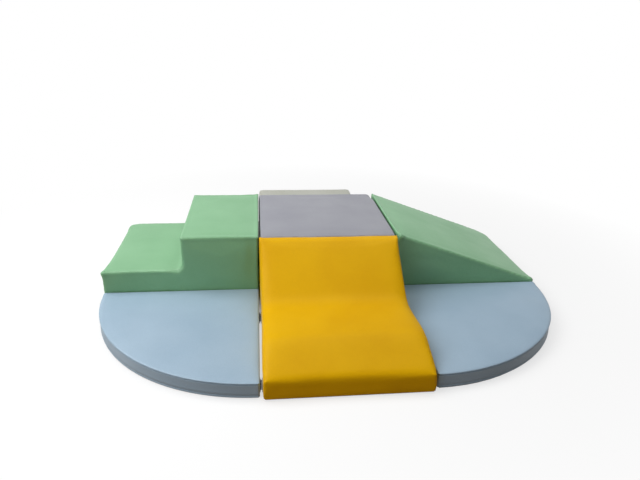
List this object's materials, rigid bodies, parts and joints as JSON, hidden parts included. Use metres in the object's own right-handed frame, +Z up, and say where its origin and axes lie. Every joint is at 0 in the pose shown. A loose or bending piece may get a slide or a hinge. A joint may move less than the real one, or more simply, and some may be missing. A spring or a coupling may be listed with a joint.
{
  "type": "soft play set",
  "caption": "Padded square platform with low steps, ramp, wave slide and low rear step on its sides and quarter-round mats in the front corners, held by hook-and-loop strips.",
  "frame": {"origin": "on the floor under the middle of the square platform", "axes": "+Z up, +X from the steps towards the ramp, -Y towards the wave slide and the mats"},
  "size_m": [1.464, 1.4834, 0.2394],
  "materials": {
    "mint_leatherette": "soft satin leatherette",
    "grey_leatherette": "soft satin leatherette",
    "yellow_leatherette": "soft satin leatherette",
    "blue_leatherette": "soft satin leatherette",
    "cream_leatherette": "soft satin leatherette",
    "polyurethane_foam": "open-cell foam, matt",
    "non_slip_fabric": "matt woven backing with grip dots",
    "hook_strip": "black nylon hooks",
    "loop_strip": "black nylon loops",
    "zip_tape": "black nylon tape and coil",
    "zip_slider_metal": "satin zinc"
  },
  "bodies": {
    "platform": {"platform_foam": "polyurethane_foam", "platform_cover": "grey_leatherette", "platform_base": "non_slip_fabric", "platform_zip": "zip_tape", "platform_loop_strip_steps": "loop_strip", "platform_loop_strip_ramp": "loop_strip", "platform_loop_strip_slide": "loop_strip", "platform_loop_strip_rear_step": "loop_strip"},
    "steps": {"steps_foam": "polyurethane_foam", "steps_cover": "mint_leatherette", "steps_base": "non_slip_fabric", "steps_zip": "zip_tape", "steps_hook_strip": "hook_strip", "steps_loop_left_mat_inner": "loop_strip", "steps_loop_left_mat_tip": "loop_strip"},
    "ramp": {"ramp_foam": "polyurethane_foam", "ramp_cover": "mint_leatherette", "ramp_base": "non_slip_fabric", "ramp_zip": "zip_tape", "ramp_hook_strip": "hook_strip", "ramp_loop_right_mat_inner": "loop_strip", "ramp_loop_right_mat_tip": "loop_strip"},
    "slide": {"slide_foam": "polyurethane_foam", "slide_cover": "yellow_leatherette", "slide_base": "non_slip_fabric", "slide_zip": "zip_tape", "slide_hook_strip": "hook_strip", "slide_loop_left_mat_inner": "loop_strip", "slide_loop_left_mat_tip": "loop_strip", "slide_loop_right_mat_inner": "loop_strip", "slide_loop_right_mat_tip": "loop_strip"},
    "rear_step": {"rear_step_foam": "polyurethane_foam", "rear_step_cover": "cream_leatherette", "rear_step_base": "non_slip_fabric", "rear_step_zip": "zip_tape", "rear_step_hook_strip": "hook_strip"},
    "left_mat": {"left_mat_foam": "polyurethane_foam", "left_mat_cover": "blue_leatherette", "left_mat_base": "non_slip_fabric", "left_mat_zip": "zip_tape", "left_mat_hook_steps_inner": "hook_strip", "left_mat_hook_steps_tip": "hook_strip", "left_mat_hook_slide_inner": "hook_strip", "left_mat_hook_slide_tip": "hook_strip"},
    "right_mat": {"right_mat_foam": "polyurethane_foam", "right_mat_cover": "blue_leatherette", "right_mat_base": "non_slip_fabric", "right_mat_zip": "zip_tape", "right_mat_hook_ramp_inner": "hook_strip", "right_mat_hook_ramp_tip": "hook_strip", "right_mat_hook_slide_inner": "hook_strip", "right_mat_hook_slide_tip": "hook_strip"},
    "platform_zip_slider": {"platform_zip_slider": "zip_slider_metal"},
    "steps_zip_slider": {"steps_zip_slider": "zip_slider_metal"},
    "ramp_zip_slider": {"ramp_zip_slider": "zip_slider_metal"},
    "slide_zip_slider": {"slide_zip_slider": "zip_slider_metal"},
    "rear_step_zip_slider": {"rear_step_zip_slider": "zip_slider_metal"},
    "left_mat_zip_slider": {"left_mat_zip_slider": "zip_slider_metal"},
    "right_mat_zip_slider": {"right_mat_zip_slider": "zip_slider_metal"}
  },
  "joints": [
    {"name": "steps_pull_off", "type": "slide", "parent": "platform", "child": "steps", "axis": [-1, 0, 0], "range_m": [0, 0.55]},
    {"name": "ramp_pull_off", "type": "slide", "parent": "platform", "child": "ramp", "axis": [1, 0, 0], "range_m": [0, 0.55]},
    {"name": "slide_pull_off", "type": "slide", "parent": "platform", "child": "slide", "axis": [0, -1, 0], "range_m": [0, 0.55]},
    {"name": "rear_step_pull_off", "type": "slide", "parent": "platform", "child": "rear_step", "axis": [0, 1, 0], "range_m": [0, 0.55]},
    {"name": "left_mat_pull_off", "type": "slide", "parent": "platform", "child": "left_mat", "axis": [-0.7071, -0.7071, 0], "range_m": [0, 0.75]},
    {"name": "right_mat_pull_off", "type": "slide", "parent": "platform", "child": "right_mat", "axis": [0.7071, -0.7071, 0], "range_m": [0, 0.75]},
    {"name": "platform_zip_run", "type": "slide", "parent": "platform", "child": "platform_zip_slider", "axis": [1, 0, 0], "range_m": [0, 0.315]},
    {"name": "steps_zip_run", "type": "slide", "parent": "steps", "child": "steps_zip_slider", "axis": [0, -1, 0], "range_m": [0, 0.315]},
    {"name": "ramp_zip_run", "type": "slide", "parent": "ramp", "child": "ramp_zip_slider", "axis": [0, 1, 0], "range_m": [0, 0.315]},
    {"name": "slide_zip_run", "type": "slide", "parent": "slide", "child": "slide_zip_slider", "axis": [1, 0, 0], "range_m": [0, 0.315]},
    {"name": "rear_step_zip_run", "type": "slide", "parent": "rear_step", "child": "rear_step_zip_slider", "axis": [-1, 0, 0], "range_m": [0, 0.315]},
    {"name": "left_mat_zip_run", "type": "slide", "parent": "left_mat", "child": "left_mat_zip_slider", "axis": [-1, 0, 0], "range_m": [0, 0.2625]},
    {"name": "right_mat_zip_run", "type": "slide", "parent": "right_mat", "child": "right_mat_zip_slider", "axis": [1, 0, 0], "range_m": [0, 0.2625]}
  ]
}
